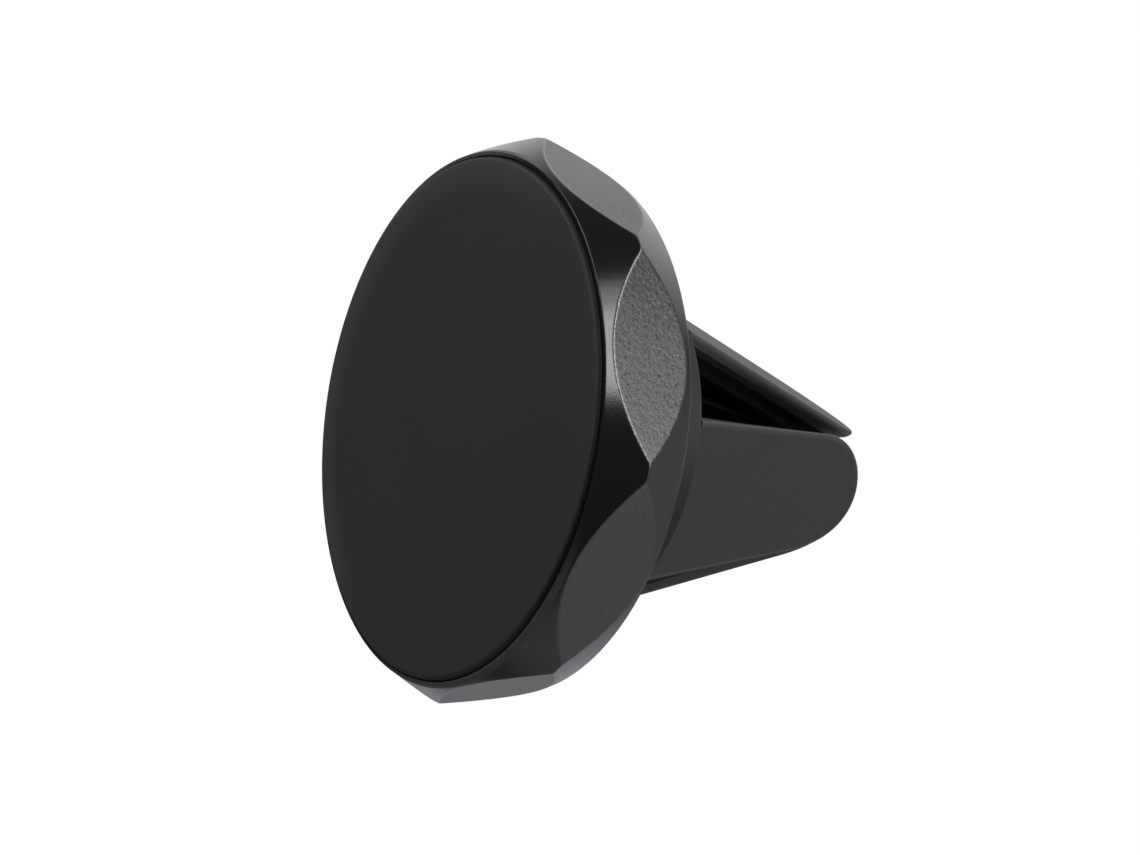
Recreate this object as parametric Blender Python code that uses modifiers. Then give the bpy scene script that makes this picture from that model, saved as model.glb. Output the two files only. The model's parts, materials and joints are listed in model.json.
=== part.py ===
"""Magnetic phone mount that clips onto the blade of a car's air vent.

A faceted metal ring carries a soft face pad over six magnets. The head turns on a
sprung pivot, and a hub behind it carries four leaning fingers that grip the blade.
+Y runs from the face to the vent and +Z is up; the origin is the blade seat.
"""

import math

import bmesh
import bpy
from mathutils import Matrix, Vector

MM = 0.001

# Clearances
SEAT_GAP = 0.15 * MM
RUN_GAP = 0.10 * MM
PIVOT_GAP = 0.08 * MM
ROOT_GAP = 0.30 * MM
CUT_OVERRUN = 1.0 * MM

# Faceted ring
RING_FRONT_RADIUS = 19.4 * MM
RIDGE_RISE = 1.6 * MM
BACK_RISE = 0.05 * MM
RIDGE_FROM_FRONT = 3.15 * MM
FLAT_COUNT = 8
FLAT_CUT = 1.37 * MM
FRONT_LIP = 0.30 * MM
BACK_LIP = 0.75 * MM
RING_REVEAL = 0.05 * MM
RING_EDGE_BREAK = 0.08 * MM
LEDGE_WIDTH = 1.5 * MM
HEAD_TURN = math.radians(7.65)

# Face pad and its adhesive
PAD_THICKNESS = 1.05 * MM
PAD_PROUD = 0.35 * MM
PAD_EDGE_ROUND = 0.35 * MM
PAD_SIDE_GAP = 0.20 * MM
ADHESIVE_THICKNESS = 0.4 * MM
ADHESIVE_MARGIN = 0.5 * MM

# Magnets, their tray and the steel plate behind them
MAGNET_COUNT = 6
MAGNET_RADIUS = 3.8 * MM
MAGNET_THICKNESS = 2.2 * MM
TRAY_WALL = 1.25 * MM
TRAY_SKIN = 0.8 * MM
TRAY_FLANGE = 0.7 * MM
YOKE_THICKNESS = 0.8 * MM

# Rear cover and its screws
COVER_THICKNESS = 1.3 * MM
COVER_FLOOR = 0.5 * MM
SCREW_COUNT = 3
SCREW_WALL = 0.95 * MM
SCREW_RADIUS = 1.0 * MM
SCREW_HEAD_RADIUS = 1.8 * MM
SCREW_HEAD_HEIGHT = 0.9 * MM
SCREW_BOSS_RADIUS = 1.9 * MM
DRIVE_DEPTH = 0.5 * MM
DRIVE_RADIUS = 0.8 * MM

# Sprung pivot
BOLT_RADIUS = 2.0 * MM
BOLT_HEAD_WIDTH = 1.5 * MM
BOLT_HEAD_HEIGHT = 1.6 * MM
BOLT_DRIVE_RADIUS = 1.45 * MM
BOLT_DRIVE_DEPTH = 0.9 * MM
BUSH_WALL = 0.8 * MM
BUSH_FLANGE_WIDTH = 1.3 * MM
BUSH_FLANGE = 0.4 * MM
DISC_WIDTH = 1.6 * MM
DISC_THICKNESS = 0.4 * MM
DISC_RISE = 0.5 * MM
WASHER_RADIUS = 8.0 * MM
WASHER_THICKNESS = 0.4 * MM
NUT_WIDTH = 2.0 * MM
NUT_THICKNESS = 2.2 * MM

# Clip hub and its cap
HUB_RADIUS = 13.0 * MM
HUB_DEPTH = 5.3 * MM
HUB_FRONT_WALL = 1.6 * MM
HUB_REAR_ROUND = 0.35 * MM
HUB_FRONT_CHAMFER = 0.6 * MM
CAP_MARGIN = 0.65 * MM
CAP_SINK = 1.0 * MM
CAP_PROUD = 0.6 * MM
CAP_CHAMFER = 0.2 * MM

# Gripping fingers
FINGER_COUNT = 4
FINGER_FIRST_ANGLE = math.radians(45)
FINGER_INSET = 1.65 * MM
FINGER_TIP_REACH = 3.87 * MM
FINGER_HALF_WIDTH = 6.42 * MM
FINGER_TIP_HALF_WIDTH = 5.05 * MM
FINGER_TIP_LENGTH = 7.9 * MM
FINGER_TIP_SKEW = 0.85 * MM
FINGER_LENGTH = 24.05 * MM
FINGER_PLATE = 1.3 * MM
FINGER_EDGE_ROUND = 0.25 * MM
RIB_HALF_WIDTH = 4.0 * MM
RIB_TIP_RADIUS = 2.1 * MM
RIB_SETBACK = 2.7 * MM
RIB_HEIGHT = 1.2 * MM
RIB_OVERLAP = 0.3 * MM
LEAF_HALF_WIDTH = 2.1 * MM
LEAF_THICKNESS = 0.6 * MM
LEAF_DEPTH = 0.85 * MM
LEAF_SETBACK = 6.55 * MM
LEAF_TAB = 2.0 * MM
LEAF_SLOT_GAP = 0.30 * MM
HINGE_DEPTH = 1.0 * MM

# Facets on round pieces
RING_STEPS = 96
PIECE_STEPS = 48
SMALL_STEPS = 24
ARC_STEPS = 4
TIP_STEPS = 14
HEX_SIDES = 6

# Stations along the axis, worked out from the blade seat towards the face
HUB_REAR = -CAP_PROUD
HUB_FRONT = HUB_REAR - HUB_DEPTH
WASHER_REAR = HUB_FRONT - RUN_GAP
WASHER_FRONT = WASHER_REAR - WASHER_THICKNESS
COVER_REAR = WASHER_FRONT - RUN_GAP
COVER_FRONT = COVER_REAR - COVER_THICKNESS
YOKE_REAR = COVER_FRONT - SEAT_GAP
YOKE_FRONT = YOKE_REAR - YOKE_THICKNESS
TRAY_REAR = YOKE_FRONT - SEAT_GAP
MAGNET_FRONT = TRAY_REAR - MAGNET_THICKNESS
POCKET_FLOOR = MAGNET_FRONT - SEAT_GAP
TRAY_FRONT = POCKET_FLOOR - TRAY_SKIN
ADHESIVE_REAR = TRAY_FRONT - SEAT_GAP
ADHESIVE_FRONT = ADHESIVE_REAR - ADHESIVE_THICKNESS
PAD_REAR = ADHESIVE_FRONT - SEAT_GAP
PAD_FRONT = PAD_REAR - PAD_THICKNESS
RING_FRONT = PAD_FRONT + PAD_PROUD
RING_BACK = COVER_REAR + RING_REVEAL
RIDGE = RING_FRONT + RIDGE_FROM_FRONT
FLANGE_REAR = TRAY_FRONT + TRAY_FLANGE
LEDGE_FRONT = FLANGE_REAR + SEAT_GAP
LEDGE_BACK = COVER_FRONT - SEAT_GAP
BUSH_FLANGE_REAR = COVER_FRONT - RUN_GAP
BUSH_FLANGE_FRONT = BUSH_FLANGE_REAR - BUSH_FLANGE
DISC_REAR = BUSH_FLANGE_FRONT - RUN_GAP
DISC_FRONT = DISC_REAR - DISC_RISE - DISC_THICKNESS
BOLT_HEAD_REAR = DISC_FRONT - RUN_GAP
BOLT_HEAD_FRONT = BOLT_HEAD_REAR - BOLT_HEAD_HEIGHT
NUT_FRONT = HUB_FRONT + HUB_FRONT_WALL + SEAT_GAP
NUT_REAR = NUT_FRONT + NUT_THICKNESS
CAP_SEAT = HUB_REAR - CAP_SINK

# Radii that follow from the pieces they fit
RIDGE_RADIUS = RING_FRONT_RADIUS + RIDGE_RISE
RING_BACK_RADIUS = RING_FRONT_RADIUS + BACK_RISE
FLAT_DISTANCE = RIDGE_RADIUS - FLAT_CUT
PAD_BORE = RING_FRONT_RADIUS - FRONT_LIP
COVER_BORE = RING_BACK_RADIUS - BACK_LIP
LEDGE_RADIUS = PAD_BORE - LEDGE_WIDTH
PAD_RADIUS = PAD_BORE - PAD_SIDE_GAP
TRAY_FLANGE_RADIUS = PAD_BORE - PAD_SIDE_GAP
TRAY_RADIUS = LEDGE_RADIUS - PAD_SIDE_GAP
COVER_RADIUS = COVER_BORE - PAD_SIDE_GAP
YOKE_RADIUS = TRAY_RADIUS - PAD_SIDE_GAP
ADHESIVE_RADIUS = PAD_RADIUS - ADHESIVE_MARGIN
MAGNET_POCKET = MAGNET_RADIUS + SEAT_GAP
MAGNET_CIRCLE = TRAY_RADIUS - TRAY_WALL - MAGNET_POCKET
BOLT_HEAD_RADIUS = BOLT_RADIUS + BOLT_HEAD_WIDTH
BUSH_BORE = BOLT_RADIUS + PIVOT_GAP
BUSH_RADIUS = BUSH_BORE + BUSH_WALL
BUSH_FLANGE_RADIUS = BUSH_RADIUS + BUSH_FLANGE_WIDTH
DISC_RADIUS = BUSH_BORE + DISC_WIDTH
WELL_RADIUS = max(BUSH_FLANGE_RADIUS, BOLT_HEAD_RADIUS, DISC_RADIUS) + 2 * SEAT_GAP
SCREW_SINK = SCREW_HEAD_RADIUS + SEAT_GAP
SCREW_CIRCLE = WELL_RADIUS + SCREW_WALL + SCREW_SINK
NUT_RADIUS = BOLT_RADIUS + NUT_WIDTH
NUT_POCKET = NUT_RADIUS + SEAT_GAP / math.cos(math.pi / HEX_SIDES)
CAP_RADIUS = NUT_POCKET + CAP_MARGIN

# Lengths and slopes of the fingers that follow from their ends
FINGER_REACH = HUB_RADIUS - FINGER_INSET
FINGER_LEAN = math.asin((FINGER_REACH - FINGER_TIP_REACH) / FINGER_LENGTH)
RIB_LENGTH = FINGER_LENGTH - RIB_SETBACK
LEAF_LENGTH = RIB_LENGTH - LEAF_SETBACK
LEAF_MIDDLE = -LEAF_DEPTH - LEAF_THICKNESS / 2
MAGNET_ANGLES = [2 * math.pi * index / MAGNET_COUNT for index in range(MAGNET_COUNT)]
SCREW_ANGLES = [
    (2 * index + 1) * math.pi / MAGNET_COUNT for index in range(0, MAGNET_COUNT, MAGNET_COUNT // SCREW_COUNT)
]


def clear_scene():
    for existing in list(bpy.data.objects):
        bpy.data.objects.remove(existing, do_unlink=True)


def new_collection(name):
    collection = bpy.data.collections.new(name)
    bpy.context.scene.collection.children.link(collection)
    return collection


def new_material(name, colour, roughness, metallic=0.0):
    material = bpy.data.materials.new(name)
    material.use_nodes = True
    shader = material.node_tree.nodes["Principled BSDF"]
    shader.inputs["Base Color"].default_value = (*colour, 1.0)
    shader.inputs["Roughness"].default_value = roughness
    shader.inputs["Metallic"].default_value = metallic
    return material


clear_scene()
parts = new_collection("car_phone_mount")
cutters = new_collection("cutters")

anodised = new_material("black_anodised", (0.022, 0.022, 0.024), 0.32, 1.0)
pad_silicone = new_material("pad_silicone", (0.025, 0.025, 0.029), 0.75)
clip_rubber = new_material("clip_rubber", (0.030, 0.030, 0.031), 0.62)
black_plastic = new_material("black_plastic", (0.018, 0.018, 0.019), 0.50)
adhesive_film = new_material("adhesive_film", (0.55, 0.52, 0.44), 0.60)
magnet_nickel = new_material("magnet_nickel", (0.62, 0.61, 0.58), 0.22, 1.0)
zinc_steel = new_material("zinc_steel", (0.48, 0.49, 0.50), 0.35, 1.0)
spring_steel = new_material("spring_steel", (0.36, 0.36, 0.37), 0.30, 1.0)
bush_nylon = new_material("bush_nylon", (0.70, 0.69, 0.64), 0.45)


def new_empty(name, location=(0, 0, 0), turn=0.0):
    empty = bpy.data.objects.new(name, None)
    empty.location = location
    empty.rotation_euler = (0, turn, 0)
    empty.empty_display_size = HUB_RADIUS
    parts.objects.link(empty)
    return empty


def add_part(name, mesh, material, parent):
    part = bpy.data.objects.new(name, mesh)
    part.parent = parent
    parts.objects.link(part)
    mesh.materials.clear()
    mesh.materials.append(material)
    mesh.shade_smooth()
    mesh.set_sharp_from_angle(angle=math.radians(30))
    return part


def add_cutter(name, mesh, parent):
    cutter = bpy.data.objects.new(name, mesh)
    cutter.parent = parent
    cutter.hide_render = True
    cutter.display_type = "WIRE"
    cutters.objects.link(cutter)
    return cutter


def boolean(part, cutter, operation="DIFFERENCE"):
    modifier = part.modifiers.new(cutter.name, "BOOLEAN")
    modifier.operation = operation
    modifier.object = cutter


def turned(name, profile, material, parent, steps=PIECE_STEPS, closed=True):
    """Revolve (radius, y) points about Y; the outer side runs from the rear to the front."""
    mesh = bpy.data.meshes.new(name)
    points = [(radius, y, 0) for radius, y in profile]
    edges = [(index, index + 1) for index in range(len(points) - 1)]
    if closed:
        edges.append((len(points) - 1, 0))
    mesh.from_pydata(points, edges, [])
    part = add_part(name, mesh, material, parent)
    screw = part.modifiers.new("turn", "SCREW")
    screw.axis = "Y"
    screw.steps = steps
    screw.render_steps = steps
    screw.use_merge_vertices = True
    screw.merge_threshold = 0.01 * MM
    return part


def arc(centre, radius, start, end, steps=ARC_STEPS):
    """Points on an arc in the (radius, y) plane, from angle start to angle end in degrees."""
    angles = [math.radians(start + (end - start) * step / steps) for step in range(steps + 1)]
    return [(centre[0] + radius * math.cos(a), centre[1] + radius * math.sin(a)) for a in angles]


def add_prism(shape, radius, front, rear, centre=(0, 0), sides=SMALL_STEPS, rear_radius=None):
    """Add a prism or cone along Y to a bmesh, between two stations."""
    placing = Matrix.Translation((centre[0], (front + rear) / 2, centre[1])) @ Matrix.Rotation(
        -math.pi / 2, 4, "X"
    )
    bmesh.ops.create_cone(
        shape,
        cap_ends=True,
        segments=sides,
        radius1=radius,
        radius2=radius if rear_radius is None else rear_radius,
        depth=rear - front,
        matrix=placing,
    )


def finish_mesh(name, shape):
    mesh = bpy.data.meshes.new(name)
    shape.to_mesh(mesh)
    shape.free()
    return mesh


def prism_mesh(name, radius, front, rear, centres=((0, 0),), sides=SMALL_STEPS):
    shape = bmesh.new()
    for centre in centres:
        add_prism(shape, radius, front, rear, centre, sides)
    return finish_mesh(name, shape)


def on_circle(radius, angles):
    return [(radius * math.cos(angle), radius * math.sin(angle)) for angle in angles]


def make_ring(head):
    profile = [
        (RING_BACK_RADIUS - RING_EDGE_BREAK, RING_BACK),
        (RING_BACK_RADIUS, RING_BACK - RING_EDGE_BREAK),
        (RIDGE_RADIUS, RIDGE),
        (RING_FRONT_RADIUS, RING_FRONT + RING_EDGE_BREAK),
        (RING_FRONT_RADIUS - RING_EDGE_BREAK, RING_FRONT),
        (PAD_BORE, RING_FRONT),
        (PAD_BORE, LEDGE_FRONT),
        (LEDGE_RADIUS, LEDGE_FRONT),
        (LEDGE_RADIUS, LEDGE_BACK),
        (COVER_BORE, LEDGE_BACK),
        (COVER_BORE, RING_BACK),
    ]
    ring = turned("bezel_ring", profile, anodised, head, RING_STEPS)
    corner = FLAT_DISTANCE / math.cos(math.pi / FLAT_COUNT)
    flats = prism_mesh(
        "ring_flats", corner, RING_FRONT - CUT_OVERRUN, RING_BACK + CUT_OVERRUN, sides=FLAT_COUNT
    )
    flats.transform(Matrix.Rotation(math.pi / FLAT_COUNT, 4, "Y"))
    boolean(ring, add_cutter("ring_flats", flats, head), "INTERSECT")


def make_face(head):
    rounding = arc(
        (PAD_RADIUS - PAD_EDGE_ROUND, PAD_FRONT + PAD_EDGE_ROUND), PAD_EDGE_ROUND, 0, -90
    )
    profile = [(0, PAD_REAR), (PAD_RADIUS, PAD_REAR), *rounding, (0, PAD_FRONT)]
    turned("face_pad", profile, pad_silicone, head, RING_STEPS, closed=False)
    disc = [
        (0, ADHESIVE_REAR),
        (ADHESIVE_RADIUS, ADHESIVE_REAR),
        (ADHESIVE_RADIUS, ADHESIVE_FRONT),
        (0, ADHESIVE_FRONT),
    ]
    turned("adhesive_disc", disc, adhesive_film, head, closed=False)


def make_magnets(head):
    mesh = prism_mesh("magnet", MAGNET_RADIUS, MAGNET_FRONT, TRAY_REAR)
    for index, (x, z) in enumerate(on_circle(MAGNET_CIRCLE, MAGNET_ANGLES), start=1):
        magnet = add_part(f"magnet_{index}", mesh, magnet_nickel, head)
        magnet.location = (x, 0, z)


def make_tray(head):
    profile = [
        (0, TRAY_REAR),
        (TRAY_RADIUS, TRAY_REAR),
        (TRAY_RADIUS, FLANGE_REAR),
        (TRAY_FLANGE_RADIUS, FLANGE_REAR),
        (TRAY_FLANGE_RADIUS, TRAY_FRONT),
        (0, TRAY_FRONT),
    ]
    tray = turned("magnet_tray", profile, black_plastic, head, closed=False)
    hollow = bmesh.new()
    past_rear = TRAY_REAR + CUT_OVERRUN
    for centre in on_circle(MAGNET_CIRCLE, MAGNET_ANGLES):
        add_prism(hollow, MAGNET_POCKET, POCKET_FLOOR, past_rear, centre)
    add_prism(hollow, WELL_RADIUS, POCKET_FLOOR, past_rear, sides=PIECE_STEPS)
    boolean(tray, add_cutter("tray_pockets", finish_mesh("tray_pockets", hollow), head))
    centres = on_circle(SCREW_CIRCLE, SCREW_ANGLES)
    past_front = TRAY_FRONT - CUT_OVERRUN
    shanks = prism_mesh("tray_screw_holes", SCREW_RADIUS + SEAT_GAP, past_front, past_rear, centres)
    boolean(tray, add_cutter("tray_screw_holes", shanks, head))
    sinks = prism_mesh(
        "tray_screw_sinks",
        SCREW_SINK,
        past_front,
        TRAY_FRONT + SCREW_HEAD_HEIGHT + 2 * SEAT_GAP,
        centres,
    )
    boolean(tray, add_cutter("tray_screw_sinks", sinks, head))


def make_yoke(head):
    profile = [
        (YOKE_RADIUS, YOKE_REAR),
        (YOKE_RADIUS, YOKE_FRONT),
        (WELL_RADIUS, YOKE_FRONT),
        (WELL_RADIUS, YOKE_REAR),
    ]
    yoke = turned("yoke_plate", profile, zinc_steel, head)
    holes = prism_mesh(
        "yoke_boss_holes",
        SCREW_BOSS_RADIUS + SEAT_GAP,
        YOKE_FRONT - CUT_OVERRUN,
        YOKE_REAR + CUT_OVERRUN,
        on_circle(SCREW_CIRCLE, SCREW_ANGLES),
    )
    boolean(yoke, add_cutter("yoke_boss_holes", holes, head))


def make_cover(head):
    bore = BUSH_RADIUS + SEAT_GAP
    profile = [
        (COVER_RADIUS, COVER_REAR),
        (COVER_RADIUS, COVER_FRONT),
        (bore, COVER_FRONT),
        (bore, COVER_REAR),
    ]
    cover = turned("rear_cover", profile, black_plastic, head)
    centres = on_circle(SCREW_CIRCLE, SCREW_ANGLES)
    middle = (COVER_FRONT + COVER_REAR) / 2
    bosses = prism_mesh("cover_bosses", SCREW_BOSS_RADIUS, TRAY_REAR + SEAT_GAP, middle, centres)
    boolean(cover, add_cutter("cover_bosses", bosses, head), "UNION")
    pilots = prism_mesh(
        "cover_pilots",
        SCREW_RADIUS + RUN_GAP,
        TRAY_REAR - CUT_OVERRUN,
        COVER_REAR - COVER_FLOOR,
        centres,
    )
    boolean(cover, add_cutter("cover_pilots", pilots, head))


def make_cover_screws(head):
    head_front = TRAY_FRONT + SEAT_GAP
    head_rear = head_front + SCREW_HEAD_HEIGHT
    profile = [
        (0, COVER_REAR - COVER_FLOOR - SEAT_GAP),
        (SCREW_RADIUS, COVER_REAR - COVER_FLOOR - SEAT_GAP),
        (SCREW_RADIUS, head_rear),
        (SCREW_HEAD_RADIUS, head_rear),
        (SCREW_HEAD_RADIUS, head_front),
        (0, head_front),
    ]
    centres = on_circle(SCREW_CIRCLE, SCREW_ANGLES)
    for index, (x, z) in enumerate(centres, start=1):
        screw = turned(f"cover_screw_{index}", profile, zinc_steel, head, SMALL_STEPS, closed=False)
        screw.location = (x, 0, z)
        drive = prism_mesh(
            f"cover_screw_drive_{index}",
            DRIVE_RADIUS,
            head_front - CUT_OVERRUN,
            head_front + DRIVE_DEPTH,
            sides=HEX_SIDES,
        )
        recess = add_cutter(f"cover_screw_drive_{index}", drive, head)
        recess.location = (x, 0, z)
        boolean(screw, recess)


def make_bush(head):
    profile = [
        (BUSH_RADIUS, COVER_REAR),
        (BUSH_RADIUS, BUSH_FLANGE_REAR),
        (BUSH_FLANGE_RADIUS, BUSH_FLANGE_REAR),
        (BUSH_FLANGE_RADIUS, BUSH_FLANGE_FRONT),
        (BUSH_BORE, BUSH_FLANGE_FRONT),
        (BUSH_BORE, COVER_REAR),
    ]
    turned("swivel_bush", profile, bush_nylon, head)


def make_pivot(clip):
    bolt_end = NUT_REAR + SEAT_GAP
    profile = [
        (0, bolt_end),
        (BOLT_RADIUS, bolt_end),
        (BOLT_RADIUS, BOLT_HEAD_REAR),
        (BOLT_HEAD_RADIUS, BOLT_HEAD_REAR),
        (BOLT_HEAD_RADIUS, BOLT_HEAD_FRONT),
        (0, BOLT_HEAD_FRONT),
    ]
    bolt = turned("pivot_bolt", profile, zinc_steel, clip, closed=False)
    drive = prism_mesh(
        "bolt_drive",
        BOLT_DRIVE_RADIUS,
        BOLT_HEAD_FRONT - CUT_OVERRUN,
        BOLT_HEAD_FRONT + BOLT_DRIVE_DEPTH,
        sides=HEX_SIDES,
    )
    boolean(bolt, add_cutter("bolt_drive", drive, clip))
    disc = [
        (DISC_RADIUS, DISC_REAR),
        (DISC_RADIUS, DISC_REAR - DISC_THICKNESS),
        (BUSH_BORE, DISC_FRONT),
        (BUSH_BORE, DISC_FRONT + DISC_THICKNESS),
    ]
    turned("disc_spring", disc, spring_steel, clip)
    washer = [
        (WASHER_RADIUS, WASHER_REAR),
        (WASHER_RADIUS, WASHER_FRONT),
        (BUSH_BORE, WASHER_FRONT),
        (BUSH_BORE, WASHER_REAR),
    ]
    turned("friction_washer", washer, bush_nylon, clip)
    nut_body = prism_mesh("pivot_nut", NUT_RADIUS, NUT_FRONT, NUT_REAR, sides=HEX_SIDES)
    nut = add_part("pivot_nut", nut_body, zinc_steel, clip)
    hole = prism_mesh(
        "nut_hole", BUSH_BORE, NUT_FRONT - CUT_OVERRUN, NUT_REAR + CUT_OVERRUN, sides=PIECE_STEPS
    )
    boolean(nut, add_cutter("nut_hole", hole, clip))


def make_hub(clip, fingers):
    rear_round = arc(
        (HUB_RADIUS - HUB_REAR_ROUND, HUB_REAR - HUB_REAR_ROUND), HUB_REAR_ROUND, 90, 0
    )
    profile = [
        (0, CAP_SEAT),
        (CAP_RADIUS + SEAT_GAP, CAP_SEAT),
        (CAP_RADIUS + SEAT_GAP, HUB_REAR),
        *rear_round,
        (HUB_RADIUS, HUB_FRONT + HUB_FRONT_CHAMFER),
        (HUB_RADIUS - HUB_FRONT_CHAMFER, HUB_FRONT),
        (0, HUB_FRONT),
    ]
    hub = turned("clip_hub", profile, clip_rubber, clip, closed=False)
    pocket = prism_mesh(
        "nut_pocket", NUT_POCKET, NUT_FRONT - SEAT_GAP, CAP_SEAT + CUT_OVERRUN, sides=HEX_SIDES
    )
    boolean(hub, add_cutter("nut_pocket", pocket, clip))
    bore = prism_mesh(
        "bolt_bore", BUSH_BORE, HUB_FRONT - CUT_OVERRUN, NUT_FRONT + CUT_OVERRUN, sides=PIECE_STEPS
    )
    boolean(hub, add_cutter("bolt_bore", bore, clip))
    slot = leaf_mesh("leaf_slot", LEAF_SLOT_GAP)
    for index, finger in enumerate(fingers, start=1):
        boolean(hub, add_cutter(f"leaf_slot_{index}", slot, finger))


def make_cap(clip):
    front = CAP_SEAT + SEAT_GAP
    profile = [
        (0, 0),
        (CAP_RADIUS - CAP_CHAMFER, 0),
        (CAP_RADIUS, -CAP_CHAMFER),
        (CAP_RADIUS, front),
        (0, front),
    ]
    turned("hub_cap", profile, clip_rubber, clip, closed=False)


def finger_point(across, along, depth):
    """A point of the upright finger, from its width, its slant and the depth under its outer face."""
    lean_cos = math.cos(FINGER_LEAN)
    lean_sin = math.sin(FINGER_LEAN)
    return Vector(
        (
            across,
            HUB_REAR + along * lean_cos + depth * lean_sin,
            FINGER_REACH - along * lean_sin + depth * lean_cos,
        )
    )


def root_station(depth, gap):
    """How far along the slant a layer at this depth meets the plane that lies gap behind the hub."""
    return (gap - depth * math.sin(FINGER_LEAN)) / math.cos(FINGER_LEAN)


HINGE = finger_point(0, root_station(LEAF_MIDDLE, -HINGE_DEPTH), LEAF_MIDDLE)


def tongue(root, half_width, tip, length, inset, depth, skew=0):
    """A tongue that tapers to an oval tip, its half width and length in tip, as points round the hinge."""
    tip_half, tip_length = tip
    tip_centre = length - tip_length
    squash = tip_half / tip_length
    centre = tip_centre * squash
    taper = math.acos(tip_half / math.hypot(half_width, centre)) - math.atan2(centre, half_width)
    slope = math.tan(taper) * squash
    root_half = half_width - root * slope - inset * math.hypot(1, slope)
    loop = [finger_point(-root_half, root, depth), finger_point(root_half, root, depth)]
    for step in range(TIP_STEPS + 1):
        angle = taper + (math.pi - 2 * taper) * step / TIP_STEPS
        across = (tip_half - inset) * math.cos(angle) + skew * math.sin(angle) ** 2
        along = tip_centre + (tip_length - inset) * math.sin(angle)
        loop.append(finger_point(across, along, depth))
    return [point - HINGE for point in loop]


def loft(name, loops):
    """A closed body through loops of equal count, from the outer face inwards."""
    shape = bmesh.new()
    rings = [[shape.verts.new(point) for point in loop] for loop in loops]
    for outer, inner in zip(rings, rings[1:]):
        for index in range(len(outer)):
            after = (index + 1) % len(outer)
            shape.faces.new((outer[index], inner[index], inner[after], outer[after]))
    shape.faces.new(rings[0])
    shape.faces.new(rings[-1][::-1])
    bmesh.ops.recalc_face_normals(shape, faces=shape.faces)
    return finish_mesh(name, shape)


def leaf_mesh(name, gap):
    """The spring leaf, or the space it needs when gap is over 0."""
    half_width = LEAF_HALF_WIDTH + gap
    top = gap - LEAF_DEPTH
    bottom = -LEAF_DEPTH - LEAF_THICKNESS - gap
    layers = [
        tongue(-LEAF_TAB - gap, half_width, (half_width, half_width), LEAF_LENGTH + gap, 0, depth)
        for depth in (top, bottom)
    ]
    return loft(name, layers)


def plate_mesh(skew):
    """Outer plate of a finger: rounded outer edge, then sides that slope in along the blade slots."""
    tip = (FINGER_TIP_HALF_WIDTH, FINGER_TIP_LENGTH)
    layers = []
    for step in range(ARC_STEPS):
        angle = math.pi / 2 * step / (ARC_STEPS - 1)
        inset = FINGER_EDGE_ROUND * (1 - math.sin(angle))
        layers.append((inset, FINGER_EDGE_ROUND * (math.cos(angle) - 1)))
    layers.append((FINGER_PLATE - FINGER_EDGE_ROUND, -FINGER_PLATE))
    loops = []
    for inset, depth in layers:
        root = root_station(depth, ROOT_GAP)
        loops.append(tongue(root, FINGER_HALF_WIDTH, tip, FINGER_LENGTH, inset, depth, skew))
    return loft("finger_plate", loops)


def rib_mesh():
    """Rib along the inner face of a finger, over its spring leaf."""
    loops = []
    for inset, depth in ((0, RIB_OVERLAP - FINGER_PLATE), (RIB_OVERLAP, -FINGER_PLATE - RIB_HEIGHT)):
        root = root_station(depth, ROOT_GAP)
        loops.append(tongue(root, RIB_HALF_WIDTH, (RIB_TIP_RADIUS, RIB_TIP_RADIUS), RIB_LENGTH, inset, depth))
    return loft("finger_rib", loops)


def finger_turns():
    return [FINGER_FIRST_ANGLE + 2 * math.pi * index / FINGER_COUNT for index in range(FINGER_COUNT)]


def finger_hinges():
    hinges = []
    for index, turn in enumerate(finger_turns(), start=1):
        place = Matrix.Rotation(turn, 3, "Y") @ HINGE
        hinges.append(new_empty(f"finger_{index}_hinge", place, turn))
    return hinges


def make_fingers(fingers):
    plates = [plate_mesh(-FINGER_TIP_SKEW), plate_mesh(FINGER_TIP_SKEW)]
    rib = rib_mesh()
    leaf = leaf_mesh("spring_leaf", 0)
    pocket = leaf_mesh("leaf_pocket", SEAT_GAP)
    for index, finger in enumerate(fingers, start=1):
        plate = plates[(index - 1) % len(plates)]
        sleeve = add_part(f"finger_sleeve_{index}", plate, clip_rubber, finger)
        boolean(sleeve, add_cutter(f"finger_rib_{index}", rib, finger), "UNION")
        boolean(sleeve, add_cutter(f"leaf_pocket_{index}", pocket, finger))
        add_part(f"spring_leaf_{index}", leaf, spring_steel, finger)


clip_axis = new_empty("clip_axis")
head_axis = new_empty("head_axis", turn=HEAD_TURN)
finger_axes = finger_hinges()

make_ring(head_axis)
make_face(head_axis)
make_magnets(head_axis)
make_tray(head_axis)
make_yoke(head_axis)
make_cover(head_axis)
make_cover_screws(head_axis)
make_bush(head_axis)
make_pivot(clip_axis)
make_hub(clip_axis, finger_axes)
make_cap(clip_axis)
make_fingers(finger_axes)
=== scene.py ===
import json
import math

import bmesh
import bpy
from mathutils import Matrix, Vector


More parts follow.
